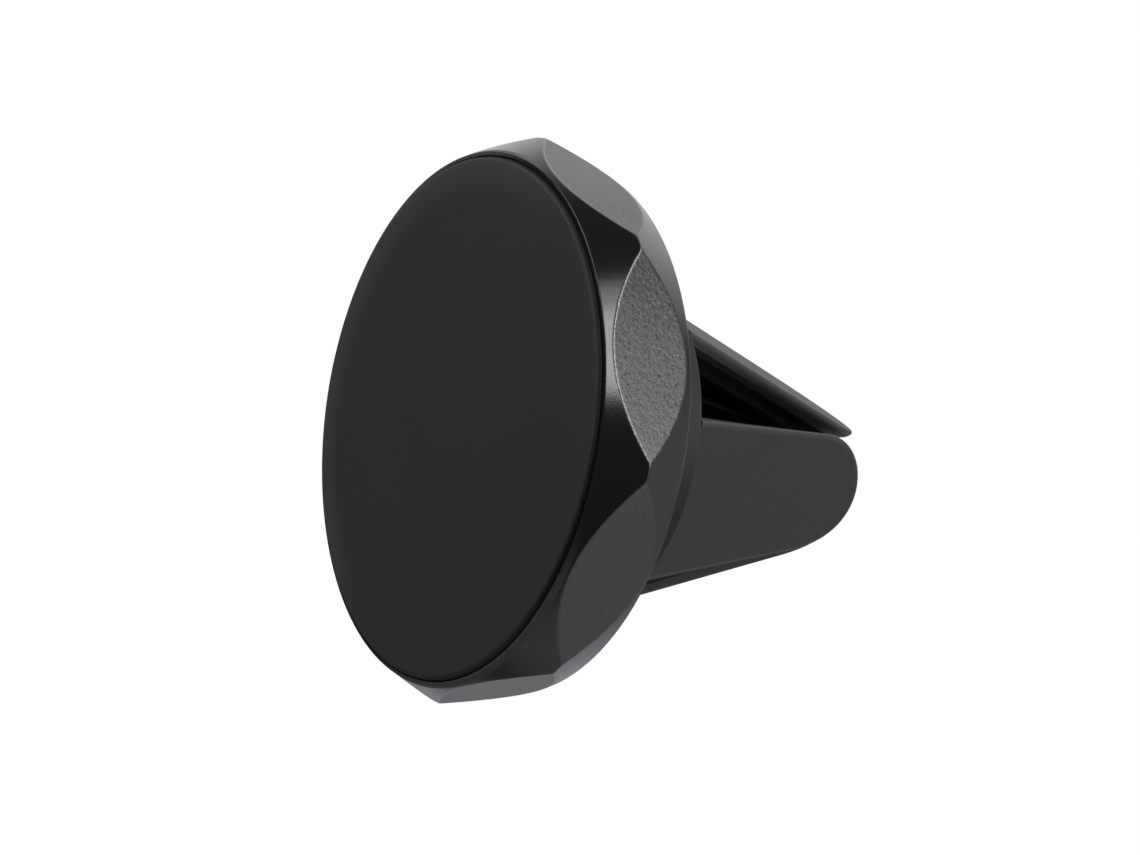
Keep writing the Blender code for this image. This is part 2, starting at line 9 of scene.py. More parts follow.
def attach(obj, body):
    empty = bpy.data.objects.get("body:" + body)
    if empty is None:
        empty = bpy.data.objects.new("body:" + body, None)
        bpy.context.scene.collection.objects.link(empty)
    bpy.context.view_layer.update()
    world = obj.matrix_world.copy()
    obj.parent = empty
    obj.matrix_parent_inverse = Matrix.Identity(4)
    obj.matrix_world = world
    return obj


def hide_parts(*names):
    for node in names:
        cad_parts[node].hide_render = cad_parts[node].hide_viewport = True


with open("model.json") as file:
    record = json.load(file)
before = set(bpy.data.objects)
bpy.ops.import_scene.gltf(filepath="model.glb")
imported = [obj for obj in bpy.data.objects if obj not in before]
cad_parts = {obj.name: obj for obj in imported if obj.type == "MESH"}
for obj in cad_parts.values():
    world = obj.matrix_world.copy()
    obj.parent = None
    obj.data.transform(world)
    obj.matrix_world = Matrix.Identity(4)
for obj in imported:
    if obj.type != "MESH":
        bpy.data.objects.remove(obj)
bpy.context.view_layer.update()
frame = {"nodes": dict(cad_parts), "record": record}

mm = 0.001


class Wire:  # one socket of a node tree, so that node maths reads as an expression
    def __init__(self, tree, socket=None):
        self.tree = tree
        self.socket = socket

    def make(self, kind, settings=None, sockets=None, out=0):
        node = self.tree.nodes.new(kind)
        for name, value in (settings or {}).items():
            if name == "stops":
                self.setStops(node.color_ramp, value)
            else:
                setattr(node, name, value)
        for name, value in (sockets or {}).items():
            for item in value if isinstance(value, list) else [value]:
                if isinstance(item, Wire):
                    self.tree.links.new(item.socket, node.inputs[name])
                else:
                    node.inputs[name].default_value = item
        return Wire(self.tree, node.outputs[out] if len(node.outputs) else None)

    def setStops(self, ramp, stops):  # pairs of place and grey level
        while len(ramp.elements) < len(stops):
            ramp.elements.new(1.0)
        for element, (place, level) in zip(ramp.elements, stops):
            element.position = place
            element.color = (level, level, level, 1.0)

    def side(self, name):  # another output of the same node
        return Wire(self.tree, self.socket.node.outputs[name])

    def calc(self, operation, *others):
        values = dict(enumerate((self, *others)))
        return self.make("ShaderNodeMath", {"operation": operation}, values)

    def flip(self, operation, other):
        return self.make("ShaderNodeMath", {"operation": operation}, {0: other, 1: self})

    def __add__(self, other):
        return self.calc("ADD", other)

    __radd__ = __add__

    def __sub__(self, other):
        return self.calc("SUBTRACT", other)

    def __rsub__(self, other):
        return self.flip("SUBTRACT", other)

    def __mul__(self, other):
        return self.calc("MULTIPLY", other)

    __rmul__ = __mul__

    def __truediv__(self, other):
        return self.calc("DIVIDE", other)

    def __rtruediv__(self, other):
        return self.flip("DIVIDE", other)

    def least(self, other):
        return self.calc("MINIMUM", other)

    def most(self, other):
        return self.calc("MAXIMUM", other)

    def sway(self, amount):  # a value from 0 to 1, made to swing about zero
        return (self - 0.5) * amount

    def patchy(self, least, added):  # a least value, with more where this one is high
        return least + self * added

    def blend(self, share, other):  # this by its share, the other by the rest
        return self * share + other * (1 - share)

    def remap(self, low, high, start=0.0, end=1.0, ease="LINEAR"):
        sockets = {"Value": self, "From Min": low, "From Max": high, "To Min": start, "To Max": end}
        return self.make("ShaderNodeMapRange", {"interpolation_type": ease}, sockets)

    def tint(self, dark, light):  # this value fades one colour into another
        sockets = {0: self, 6: dark if isinstance(dark, Wire) else (*dark, 1.0)}
        sockets[7] = light if isinstance(light, Wire) else (*light, 1.0)
        return self.make("ShaderNodeMix", {"data_type": "RGBA"}, sockets, out=2)


def startFinish(name):
    material = bpy.data.materials.new(name)
    material.use_nodes = True
    material.node_tree.nodes.clear()
    wire = Wire(material.node_tree)
    coords = wire.make("ShaderNodeTexCoord", out="Object")
    return material, wire, coords


def endFinish(wire, sockets):
    shader = wire.make("ShaderNodeBsdfPrincipled", None, sockets)
    wire.make("ShaderNodeOutputMaterial", None, {"Surface": shader})


def noise(wire, coords, scale, detail=2.0, rough=0.5):
    sockets = {"Vector": coords, "Scale": scale, "Detail": detail, "Roughness": rough}
    return wire.make("ShaderNodeTexNoise", None, sockets)


def stretched(wire, coords, scale, turn=(0.0, 0.0, 0.0)):  # coordinates pulled out along an axis
    return wire.make("ShaderNodeMapping", None, {"Vector": coords, "Scale": scale, "Rotation": turn})


def cells(wire, coords, scale, feature="SMOOTH_F1", out="Distance"):
    sockets = {"Vector": coords, "Scale": scale}
    return wire.make("ShaderNodeTexVoronoi", {"feature": feature}, sockets, out=out)


def raised(wire, height, depth):
    return wire.make("ShaderNodeBump", None, {"Height": height, "Distance": depth, "Strength": 1.0})


def mask(wire, name):
    return wire.make("ShaderNodeAttribute", {"attribute_name": name}, out="Fac")


ringFinishSettings = {
    "coneColour": (0.0060, 0.0060, 0.0066),
    "coneRough": 0.17,
    "coneRelief": 0.04,  # share of the fine grain left on the polished cones
    "flatColour": (0.038, 0.038, 0.044),
    "flatRough": 0.32,
    "sideHigh": (0.003, 0.003, 0.003),  # painted shade and light: the side flats are painted darker high up and lighter low down
    "sideLow": (0.062, 0.062, 0.070),
    "sideHeight": (3.4 * mm, -2.6 * mm),
    "sideFlatHeight": (9.0 * mm, 13.0 * mm),  # flats above and below get less of the pits, painted shade and painted light than the side ones
    "sideFlatLeast": 0.2,
    "paintedHollowShade": (0.004, 0.004, 0.005),  # painted shade: dark specks between the grains
    "hollowRange": (0.47, 0.36),
    "paintedRiseHighlight": (0.115, 0.115, 0.122),  # painted highlight: light specks on the tops of the grains
    "riseRange": (0.56, 0.68),
    "speckScale": 3800.0,
    "speckRough": 0.35,
    "edgeWearHighlight": (0.30, 0.30, 0.31),  # oxide worn thin on the sharp edges, partly a painted highlight along them
    "edgePolish": 0.07,
    "wearHighlightHeight": (-11.5 * mm, -9.5 * mm),  # the lighter edges, worn and partly a painted highlight, are painted only above this
    "wearHighlightShare": (0.45, 0.5),  # the least wear and highlight, and what a cloudy patch adds
    "wearMetal": 0.8,
    "lipPaintedLight": (0.040, 0.040, 0.045),  # painted light: the front lip is painted lighter, and made duller, above and below
    "lipRough": 0.60,
    "lipHeight": (12.5 * mm, 18.5 * mm),
    "lipDepth": (-13.17 * mm, -13.09 * mm),  # stations where the painted light and dullness on the lip fade out
    "gloss": 1.8,  # index of refraction of the sealed oxide
    "grainScale": 3300.0,  # about 0.3 mm from rise to rise
    "grainShare": 0.44,
    "grainLevel": 0.31,  # mean height of the grain, taken off so that a flat's edge has no step
    "grainDepth": 0.10 * mm,
    "pitScale": 1700.0,
    "pitRange": (0.04, 0.24),
    "pitShare": 0.55,
    # painted shade in the pits
    "pitShade": 0.5,
    "patchScale": 420.0,  # pits come in patches
    "patchRange": (0.42, 0.58),
    "fineScale": 9000.0,
    "fineShare": 0.18,
    "fineRough": 0.10,
    "cloudScale": 110.0,
    "cloudRough": 0.06,
}


def ringFinish():
    s = ringFinishSettings
    material, wire, coords = startFinish("ringAnodised")
    flat = mask(wire, "flatMask")
    edge = mask(wire, "edgeMask")
    height = wire.make("ShaderNodeSeparateXYZ", None, {"Vector": coords}, out="Z")
    away = height.calc("ABSOLUTE")
    lip = height.side("Y").remap(*s["lipDepth"], 1.0, 0.0) * away.remap(*s["lipHeight"], ease="SMOOTHSTEP")
    sideFlatShare = away.remap(*s["sideFlatHeight"], 1.0, s["sideFlatLeast"])
    grain = noise(wire, coords, s["grainScale"], detail=3.0, rough=0.55)
    fine = noise(wire, coords, s["fineScale"], detail=2.0, rough=0.6)
    cloud = noise(wire, coords, s["cloudScale"], detail=3.0, rough=0.5)
    speck = noise(wire, coords, s["speckScale"], detail=3.0, rough=0.7)
    patch = noise(wire, coords, s["patchScale"], detail=2.0).remap(*s["patchRange"])
    pits = cells(wire, coords, s["pitScale"], "F1").remap(*s["pitRange"], 1.0, 0.0, "SMOOTHSTEP") * sideFlatShare
    leather = grain * s["grainShare"] + fine * s["fineShare"] - pits * patch * s["pitShare"]
    relief = flat * (leather - s["grainLevel"]) + (1 - flat) * (fine * s["coneRelief"])
    # where the painted speck shade and highlight go on the flats, most on the side ones
    wearAndPaintedLight = flat * sideFlatShare
    # painted shade and light on the side flats, darker high up and lighter low down
    side = height.remap(*s["sideHeight"]).tint(s["sideHigh"], s["sideLow"])
    plain = flat.tint(s["coneColour"], sideFlatShare.remap(s["sideFlatLeast"], 1.0).tint(s["flatColour"], side))
    # painted shade and highlight: dark and light specks on the flats
    speckShadeAndHighlight = (wearAndPaintedLight * speck.remap(*s["hollowRange"])).tint(plain, s["paintedHollowShade"])
    speckShadeAndHighlight = (wearAndPaintedLight * speck.remap(*s["riseRange"])).tint(speckShadeAndHighlight, s["paintedRiseHighlight"])
    # painted light on the front lip above and below
    base = lip.tint(speckShadeAndHighlight, s["lipPaintedLight"])
    # worn edges, partly a painted highlight, left out low down
    wearAndHighlight = edge * edge * cloud.patchy(*s["wearHighlightShare"]) * height.remap(*s["wearHighlightHeight"])
    wornAndHighlit = wearAndHighlight.tint(base, s["edgeWearHighlight"])
    rough = flat * s["flatRough"] + (1 - flat) * s["coneRough"]
    rough = rough + fine.sway(s["fineRough"]) + cloud.sway(s["cloudRough"])
    rough = rough + lip * (s["lipRough"] - s["coneRough"]) + wearAndPaintedLight * speck.sway(s["speckRough"])
    endFinish(wire, {
        # painted shade: the pits are darkened towards the cone's colour
        "Base Color": (flat * pits * patch * s["pitShade"]).tint(wornAndHighlit, s["coneColour"]),
        "Metallic": wearAndHighlight * s["wearMetal"],
        "Roughness": rough - edge * s["edgePolish"],
        "IOR": s["gloss"],
        "Normal": raised(wire, relief, s["grainDepth"]),
    })
    return material


padFinishSettings = {
    "dark": (0.0365, 0.0365, 0.0440),
    "light": (0.0490, 0.0490, 0.0580),
    "cloudScale": 70.0,
    "cloudShare": 0.7,
    "cloudRough": 0.12,
    "cloudRelief": 0.6,
    "speck": (0.115, 0.115, 0.120),
    "speckShare": 0.6,
    "speckScale": 900.0,
    "speckSize": (0.02, 0.055),
    "sparseScale": 260.0,  # specks show in a few places only
    "sparseRange": (0.58, 0.66),
    "rim": (0.074, 0.074, 0.080),  # painted light by the rim, mostly above and to the left
    "rimRadius": (16.3 * mm, 18.4 * mm),
    "rimSide": (-2.0 * mm, 7.0 * mm),
    "rimSlant": 0.6,
    "rimLightShare": (0.7, 0.5),  # the least painted light, and what a cloudy patch adds
    "side": (0.006, 0.006, 0.007),  # painted shade down the right side of the pad's rounded edge
    "sideAcross": (2.0 * mm, 10.0 * mm),
    "rough": 0.66,
    "gloss": 0.36,
    "sheen": (0.03, 0.5),  # weight and roughness
    "skinScale": 6500.0,
    "skinRough": 0.10,
    "skinRelief": 0.8,
    "skinDepth": 0.006 * mm,
}


def padFinish():
    s = padFinishSettings
    material, wire, coords = startFinish("padSilicone")
    cloud = noise(wire, coords, s["cloudScale"], detail=4.0, rough=0.55)
    skin = noise(wire, coords, s["skinScale"], detail=3.0, rough=0.6)
    dust = cells(wire, coords, s["speckScale"], "F1").remap(*s["speckSize"], 1.0, 0.0)
    sparse = noise(wire, coords, s["sparseScale"], detail=2.0).remap(*s["sparseRange"])
    across = wire.make("ShaderNodeSeparateXYZ", None, {"Vector": coords}, out="X")
    upright = across.side("Z")
    reach = (across * across + upright * upright).calc("SQRT")
    rim = reach.remap(*s["rimRadius"]) * (upright - across * s["rimSlant"]).remap(*s["rimSide"])
    base = cloud.blend(s["cloudShare"], skin).tint(s["dark"], s["light"])
    # painted light by the rim, above and to the left
    rimPaintedLight = (rim * cloud.patchy(*s["rimLightShare"])).tint(base, s["rim"])
    specked = (dust * sparse * s["speckShare"]).tint(rimPaintedLight, s["speck"])
    # painted shade down the pad's right side, on its rounded edge
    paintedSideShade = mask(wire, "edgeMask") * across.remap(*s["sideAcross"])
    sheenWeight, sheenRough = s["sheen"]
    endFinish(wire, {
        "Base Color": paintedSideShade.tint(specked, s["side"]),
        "Roughness": s["rough"] + cloud.sway(s["cloudRough"]) + skin.sway(s["skinRough"]),
        "Specular IOR Level": s["gloss"],
        "Sheen Weight": sheenWeight,
        "Sheen Roughness": sheenRough,
        "Normal": raised(wire, skin * s["skinRelief"] + cloud * s["cloudRelief"], s["skinDepth"]),
    })
    return material


rubberFinishSettings = {
    "dark": (0.032, 0.032, 0.033),
    "light": (0.044, 0.044, 0.045),
    "cloudScale": 120.0,
    "cloudShare": 0.75,
    "cloudRough": 0.14,
    "cloudRelief": 0.5,
    "edge": (0.070, 0.070, 0.071),
    "edgeWearHighlightShare": (0.35, 0.6),  # the least wear and painted highlight, and what a cloudy patch adds
    "edgePolish": 0.05,
    "rib": (0.024, 0.024, 0.0245),  # softer, blacker grip under the plate
    "ribShare": (0.8, 0.2),
    "ribRough": 0.30,
    "hub": (0.016, 0.016, 0.0165),  # painted shade on the hub's side, under the head
    "hubShadeShare": (0.8, 0.4),
    "hubShadeStation": (-0.80 * mm, -0.62 * mm),
    "speck": (0.12, 0.12, 0.118),
    "speckShare": 0.5,
    "speckScale": 1100.0,
    "speckSize": (0.02, 0.06),
    "sparseScale": 300.0,
    "sparseRange": (0.60, 0.68),
    "rough": 0.56,
    "gloss": 0.42,
    "skinScale": 5200.0,
    "skinRough": 0.12,
    "skinRelief": 0.8,
    "skinDepth": 0.008 * mm,
}


def rubberFinish():
    s = rubberFinishSettings
    material, wire, coords = startFinish("gripRubber")
    edge = mask(wire, "edgeMask")
    cloud = noise(wire, coords, s["cloudScale"], detail=4.0, rough=0.55)
    skin = noise(wire, coords, s["skinScale"], detail=3.0, rough=0.6)
    dust = cells(wire, coords, s["speckScale"], "F1").remap(*s["speckSize"], 1.0, 0.0)
    sparse = noise(wire, coords, s["sparseScale"], detail=2.0).remap(*s["sparseRange"])
    station = wire.make("ShaderNodeSeparateXYZ", None, {"Vector": coords}, out="Y")
    # painted shade on the hub's side, where the head shades it
    hub = station.remap(*s["hubShadeStation"], 1.0, 0.0) * cloud.patchy(*s["hubShadeShare"])
    base = hub.tint(cloud.blend(s["cloudShare"], skin).tint(s["dark"], s["light"]), s["hub"])
    # lighter edges: wear, and partly a painted highlight
    wearAndPaintedLight = (edge * cloud.patchy(*s["edgeWearHighlightShare"])).tint(base, s["edge"])
    dusty = (dust * sparse * s["speckShare"]).tint(wearAndPaintedLight, s["speck"])
    rib = mask(wire, "ribMask") * skin.patchy(*s["ribShare"])
    rough = s["rough"] + rib * s["ribRough"] + cloud.sway(s["cloudRough"]) + skin.sway(s["skinRough"])
    endFinish(wire, {
        "Base Color": rib.tint(dusty, s["rib"]),
        "Roughness": rough - edge * s["edgePolish"],
        "Specular IOR Level": s["gloss"],
        "Normal": raised(wire, skin * s["skinRelief"] + cloud * s["cloudRelief"], s["skinDepth"]),
    })
    return material


plasticFinishSettings = {
    "dark": (0.013, 0.013, 0.014),
    "light": (0.024, 0.024, 0.025),
    "rough": 0.52,
    "gloss": 0.45,
    "sparkScale": 3600.0,  # spark-eroded mould texture
    "sparkRough": 0.16,
    "sparkDepth": 0.014 * mm,
    "sparkRelief": 0.6,  # share of the relief, the lumps have the rest
    "lumpScale": 2880.0,
    "flowScale": 240.0,
    "flowPull": (1.0, 0.15, 1.0),
    "flowShare": 0.7,
    "flowRough": 0.08,
}


def plasticFinish():
    s = plasticFinishSettings
    material, wire, coords = startFinish("mouldedPlastic")
    spark = noise(wire, coords, s["sparkScale"], detail=3.0, rough=0.65)
    lumps = cells(wire, coords, s["lumpScale"])
    flow = noise(wire, stretched(wire, coords, s["flowPull"]), s["flowScale"], detail=3.0, rough=0.5)
    endFinish(wire, {
        "Base Color": flow.blend(s["flowShare"], spark).tint(s["dark"], s["light"]),
        "Roughness": s["rough"] + spark.sway(s["sparkRough"]) + flow.sway(s["flowRough"]),
        "Specular IOR Level": s["gloss"],
        "Normal": raised(wire, spark.blend(s["sparkRelief"], lumps), s["sparkDepth"]),
    })
    return material


filmFinishSettings = {
    "dark": (0.44, 0.41, 0.33),
    "light": (0.62, 0.59, 0.50),
    "rough": 0.42,
    "fibreScale": 900.0,
    "fibreShare": 0.6,
    "weft": ((1.0, 1.0, 0.06), (0.0, 0.4, 0.0)),  # pull and turn of each set of fibres
    "warp": ((0.06, 1.0, 1.0), (0.0, -0.2, 0.0)),
    "tackScale": 420.0,
    "tackRough": 0.3,
    "tackRelief": 0.5,
    "depth": 0.02 * mm,
}


def filmFinish():
    s = filmFinishSettings
    material, wire, coords = startFinish("adhesiveFilm")
    weft = noise(wire, stretched(wire, coords, *s["weft"]), s["fibreScale"], detail=2.0)
    warp = noise(wire, stretched(wire, coords, *s["warp"]), s["fibreScale"], detail=2.0)
    tack = noise(wire, coords, s["tackScale"], detail=4.0, rough=0.6)
    fibre = weft.most(warp)
    endFinish(wire, {
        "Base Color": fibre.blend(s["fibreShare"], tack).tint(s["dark"], s["light"]),
        "Roughness": s["rough"] + tack * s["tackRough"],
        "Normal": raised(wire, fibre + tack * s["tackRelief"], s["depth"]),
    })
    return material


plateFinishSettings = {  # dark and light colour, roughness, and the pull and scale of the lines
    "magnetNickel": ((0.52, 0.51, 0.48), (0.68, 0.67, 0.63), 0.22, (1.0, 0.05, 1.0), 1600.0),
    "zincPlate": ((0.40, 0.41, 0.43), (0.58, 0.59, 0.60), 0.34, (1.0, 1.0, 0.08), 1300.0),
    "rolledSteel": ((0.29, 0.29, 0.30), (0.44, 0.44, 0.45), 0.30, (1.0, 0.03, 1.0), 2200.0),
}
plateGrain = {  # shared by the three
    "shares": (0.45, 0.2, 0.35),  # of the lines, the spangle and the haze in the colour
    "lineRough": 0.16,
    "spangleScale": 620.0,
    "spangleRelief": 0.3,
    "hazeScale": 180.0,
    "hazeRough": 0.12,
    "depth": 0.004 * mm,
}


def plateFinish(name):
    dark, light, rough, pull, scale = plateFinishSettings[name]
    s = plateGrain
    material, wire, coords = startFinish(name)
    lines = noise(wire, stretched(wire, coords, pull), scale, detail=3.0, rough=0.6)
    crystals = cells(wire, coords, s["spangleScale"], "F1", "Color")
    spangle = wire.make("ShaderNodeRGBToBW", None, {"Color": crystals})
    haze = noise(wire, coords, s["hazeScale"], detail=4.0, rough=0.55)
    lineShare, spangleShare, hazeShare = s["shares"]
    endFinish(wire, {
        "Base Color": (lines * lineShare + spangle * spangleShare + haze * hazeShare).tint(dark, light),
        "Metallic": 1.0,
        "Roughness": rough + lines.sway(s["lineRough"]) + haze.sway(s["hazeRough"]),
        "Normal": raised(wire, lines + spangle * s["spangleRelief"], s["depth"]),
    })
    return material


nylonFinishSettings = {
    "dark": (0.60, 0.585, 0.53),
    "light": (0.74, 0.73, 0.69),
    "rough": 0.40,
    "cloudScale": 320.0,
    "cloudShare": 0.8,
    "cloudRough": 0.16,
    "cloudRelief": 0.5,
    "ringPitch": 0.16 * mm,  # turning marks round the pivot
    "ringRough": 0.05,
    "ringRelief": 0.7,
    "ringDepth": 0.006 * mm,
    "glow": (0.12, (1.2 * mm, 1.0 * mm, 0.8 * mm), 0.5),  # subsurface weight, radius and scale
}


def nylonFinish():
    s = nylonFinishSettings
    material, wire, coords = startFinish("naturalNylon")
    place = wire.make("ShaderNodeSeparateXYZ", None, {"Vector": coords}, out="X")
    reach = (place * place + place.side("Z") * place.side("Z")).calc("SQRT")
    rings = (reach * (2 * math.pi / s["ringPitch"])).calc("SINE") * 0.5 + 0.5
    cloud = noise(wire, coords, s["cloudScale"], detail=4.0, rough=0.55)
    glowWeight, glowRadius, glowScale = s["glow"]
    endFinish(wire, {
        "Base Color": cloud.blend(s["cloudShare"], rings).tint(s["dark"], s["light"]),
        "Roughness": s["rough"] + cloud * s["cloudRough"] + rings * s["ringRough"],
        "Subsurface Weight": glowWeight,
        "Subsurface Radius": glowRadius,
        "Subsurface Scale": glowScale,
        "Normal": raised(wire, rings * s["ringRelief"] + cloud * s["cloudRelief"], s["ringDepth"]),
    })
    return material


finishes = {
    "black_anodised": ringFinish(),
    "pad_silicone": padFinish(),
    "clip_rubber": rubberFinish(),
    "black_plastic": plasticFinish(),
    "adhesive_film": filmFinish(),
    "magnet_nickel": plateFinish("magnetNickel"),
    "zinc_steel": plateFinish("zincPlate"),
    "spring_steel": plateFinish("rolledSteel"),
    "bush_nylon": nylonFinish(),
}
print("finishes made:", len(finishes))


def newTree(name, inputs):  # a geometry tree with named inputs, and the wires to them
    tree = bpy.data.node_groups.new(name, "GeometryNodeTree")
    tree.is_modifier = True
    tree.interface.new_socket("Geometry", in_out="OUTPUT", socket_type="NodeSocketGeometry")
    for label, kind in inputs.items():
        tree.interface.new_socket(label, in_out="INPUT", socket_type="NodeSocket" + kind)
    wire = Wire(tree)
    first = wire.make("NodeGroupInput")
    return wire, {label: first.side(label) for label in inputs}


def endTree(wire, geometry, material):
    whole = wire.make("GeometryNodeRealizeInstances", None, {"Geometry": geometry})
    shown = wire.make("GeometryNodeSetMaterial", None, {"Geometry": whole, "Material": material})
    wire.make("NodeGroupOutput", None, {"Geometry": shown})


def growTree(name, tree, values, mesh=None):  # runs a tree and keeps its result as a plain mesh
    piece = bpy.data.objects.new(name, mesh or bpy.data.meshes.new(name))
    bpy.context.scene.collection.objects.link(piece)
    modifier = piece.modifiers.new("shape", "NODES")
    modifier.node_group = tree
    for item in tree.interface.items_tree:
        if item.in_out == "INPUT" and item.name in values:
            modifier[item.identifier] = values[item.name]
    ready = piece.evaluated_get(bpy.context.evaluated_depsgraph_get())
    grown = bpy.data.meshes.new_from_object(ready)
    piece.modifiers.clear()
    piece.data = grown
    return piece


def smoothed(piece, angle=32.0):  # bends sharper than the angle, in degrees, stay crisp
    piece.data.shade_smooth()
    piece.data.set_sharp_from_angle(angle=math.radians(angle))
    return piece


def hang(piece, body, slot, *nodes):  # the piece stands for its nodes and moves with their body
    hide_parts(*nodes)
    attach(piece, body)
    print("piece", piece.name, "on", body + ":", len(piece.data.polygons), "faces")


ringSizes = {
    "Front Radius": 19.38 * mm,
    "Ridge Radius": 21.0 * mm,
    "Back Radius": 19.45 * mm,
    "Front": -13.45 * mm,
    "Ridge": -10.30 * mm,
    "Back": -6.45 * mm,
    "Flat Distance": 19.63 * mm,
    "Flat Count": 8,
    "First Flat": math.radians(-7.65),
    "Front Round": 0.04 * mm,
    "Edge Break": 0.08 * mm,
    "Lens Round": 0.10 * mm,
    "Pad Bore": 19.1 * mm,
    "Cover Bore": 18.7 * mm,
    "Ledge Radius": 17.6 * mm,
    "Ledge Front": -11.2 * mm,
    "Ledge Back": -7.95 * mm,
}
ringMesh = {
    "columns": 54,  # on each flat
    "tipColumns": 2,  # those of them beyond each lens tip
    "edgeRows": 4,
    "coneRows": 12,
    "lensRows": 10,
    "flatRows": 16,
    "insideRows": 2,
    "backWearHighlight": 0.3,  # wear and painted highlight on the lens edges behind the ridge, as a share of the front ones
    "ridgeWearHighlight": 0.5,
    "mergeDistance": 0.001 * mm,
    "smoothAngle": 40.0,
}


def ringTree():
    s = ringMesh
    tipShare = s["tipColumns"] / s["columns"]
    inputs = {label: "Int" if label == "Flat Count" else "Float" for label in ringSizes}
    wire, given = newTree("facetedRing", {**inputs, "Finish": "Material"})
    frontRadius, ridgeRadius = given["Front Radius"], given["Ridge Radius"]
    backRadius = given["Back Radius"]
    front, ridge, back = given["Front"], given["Ridge"], given["Back"]
    lens, chip, frontRound = given["Lens Round"], given["Edge Break"], given["Front Round"]
    spot = wire.make("GeometryNodeInputPosition")
    place = wire.make("ShaderNodeSeparateXYZ", None, {"Vector": spot}, out="X")
    along = place.side("Y") + 0.5
    count = (place + 0.5) * given["Flat Count"]
    sector = count.calc("FLOOR")
    share = count - sector
    half = math.pi / given["Flat Count"]
    tip = (given["Flat Distance"] / ridgeRadius).calc("ARCCOSINE")
    local = share.remap(0.0, tipShare, 0.0, half - tip) + share.remap(tipShare, 1 - tipShare, 0.0, tip * 2)
    local = local + share.remap(1 - tipShare, 1.0, 0.0, half - tip) - half
    angle = given["First Flat"] + sector * half * 2 + local
    reach = given["Flat Distance"] / local.calc("COSINE")
    columns = given["Flat Count"] * s["columns"] + 1

    frontStart = front + frontRound
    backStart = back - chip
    frontSlope = (ridgeRadius - frontRadius) / (ridge - frontStart)
    backSlope = (ridgeRadius - backRadius) / (backStart - ridge)
    frontMeet = (frontStart + (reach - frontRadius) / frontSlope).least(ridge)
    backMeet = (backStart - (reach - backRadius) / backSlope).most(ridge)
    frontOuter = frontMeet - lens / frontSlope
    backOuter = backMeet + lens / backSlope
    frontInner = (frontMeet + lens / frontSlope).least(ridge)
    backInner = (backMeet - lens / backSlope).most(ridge)
    bands = []

    def band(rows, station, radius, flat, edge):
        grid = wire.make("GeometryNodeMeshGrid", None, {
            "Size X": 1.0, "Size Y": 1.0, "Vertices X": columns, "Vertices Y": rows + 1})
        for label, value in (("flatMask", flat), ("edgeMask", edge)):
            grid = wire.make("GeometryNodeStoreNamedAttribute", {"data_type": "FLOAT", "domain": "POINT"}, {
                "Geometry": grid, "Name": label, "Value": value})
        spot = wire.make("ShaderNodeCombineXYZ", None, {
            "X": radius * angle.calc("COSINE"), "Y": station, "Z": radius * angle.calc("SINE")})
        bands.append(wire.make("GeometryNodeSetPosition", None, {"Geometry": grid, "Position": spot}))

    def outerBand(rows, start, end, ease):  # two cones and the flats, blended along the lens edges
        station = start + (end - start) * along.remap(0.0, 1.0, ease=ease)
        frontCone = frontRadius + (station - frontStart) * frontSlope
        backCone = backRadius + (backStart - station) * backSlope
        cone = frontCone.calc("SMOOTH_MIN", backCone, lens)
        radius = cone.calc("SMOOTH_MIN", reach, lens)
        flat = ((cone - reach) / lens).remap(-0.5, 0.5)
        rim = 1 - (cone - reach).calc("ABSOLUTE") / lens
        rim = rim * station.remap(ridge - lens, ridge + lens, 1.0, s["backWearHighlight"])
        crest = (1 - (frontCone - backCone).calc("ABSOLUTE") / lens) * s["ridgeWearHighlight"]
        band(rows, station, radius, flat, rim.most(crest).most(0.0))

    def turnedBand(rows, start, end):  # a straight line of the profile, turned
        radius = start[0] + (end[0] - start[0]) * along
        band(rows, start[1] + (end[1] - start[1]) * along, radius, 0.0, 0.0)

    quarter = along * (math.pi / 2)
    backArc = backRadius - chip * (1 - quarter.calc("SINE"))
    band(s["edgeRows"], backStart + chip * quarter.calc("COSINE"), backArc, 0.0, 1.0)
    outerBand(s["coneRows"], backStart, backOuter, "SMOOTHSTEP")
    outerBand(s["lensRows"], backOuter, backInner, "LINEAR")
    outerBand(s["flatRows"], backInner, frontInner, "SMOOTHSTEP")
    outerBand(s["lensRows"], frontInner, frontOuter, "LINEAR")
    outerBand(s["coneRows"], frontOuter, frontStart, "SMOOTHSTEP")
    frontArc = frontRadius - frontRound * (1 - quarter.calc("COSINE"))
    band(s["edgeRows"], frontStart - frontRound * quarter.calc("SINE"), frontArc, 0.0, 0.0)
    profile = [
        (frontRadius - frontRound, front),
        (given["Pad Bore"], front),
        (given["Pad Bore"], given["Ledge Front"]),
        (given["Ledge Radius"], given["Ledge Front"]),
        (given["Ledge Radius"], given["Ledge Back"]),
        (given["Cover Bore"], given["Ledge Back"]),
        (given["Cover Bore"], back),
        (backRadius - chip, back),
    ]
    for start, end in zip(profile, profile[1:]):
        turnedBand(s["insideRows"], start, end)
    joined = wire.make("GeometryNodeJoinGeometry", None, {"Geometry": bands})
    merging = {"Geometry": joined, "Distance": s["mergeDistance"]}
    closed = wire.make("GeometryNodeMergeByDistance", None, merging)
    endTree(wire, closed, given["Finish"])
    return wire.tree


ring = growTree("facetedRing", ringTree(), {**ringSizes, "Finish": finishes["black_anodised"]})
hang(smoothed(ring, ringMesh["smoothAngle"]), "head", "black_anodised", "bezel_ring")


def arc(centre, radius, start, end, steps):  # points on a corner round, angles in degrees
    points = []
    for step in range(steps + 1):
        angle = math.radians(start + (end - start) * step / steps)
        points.append((centre[0] + radius * math.cos(angle), centre[1] + radius * math.sin(angle)))
    return points


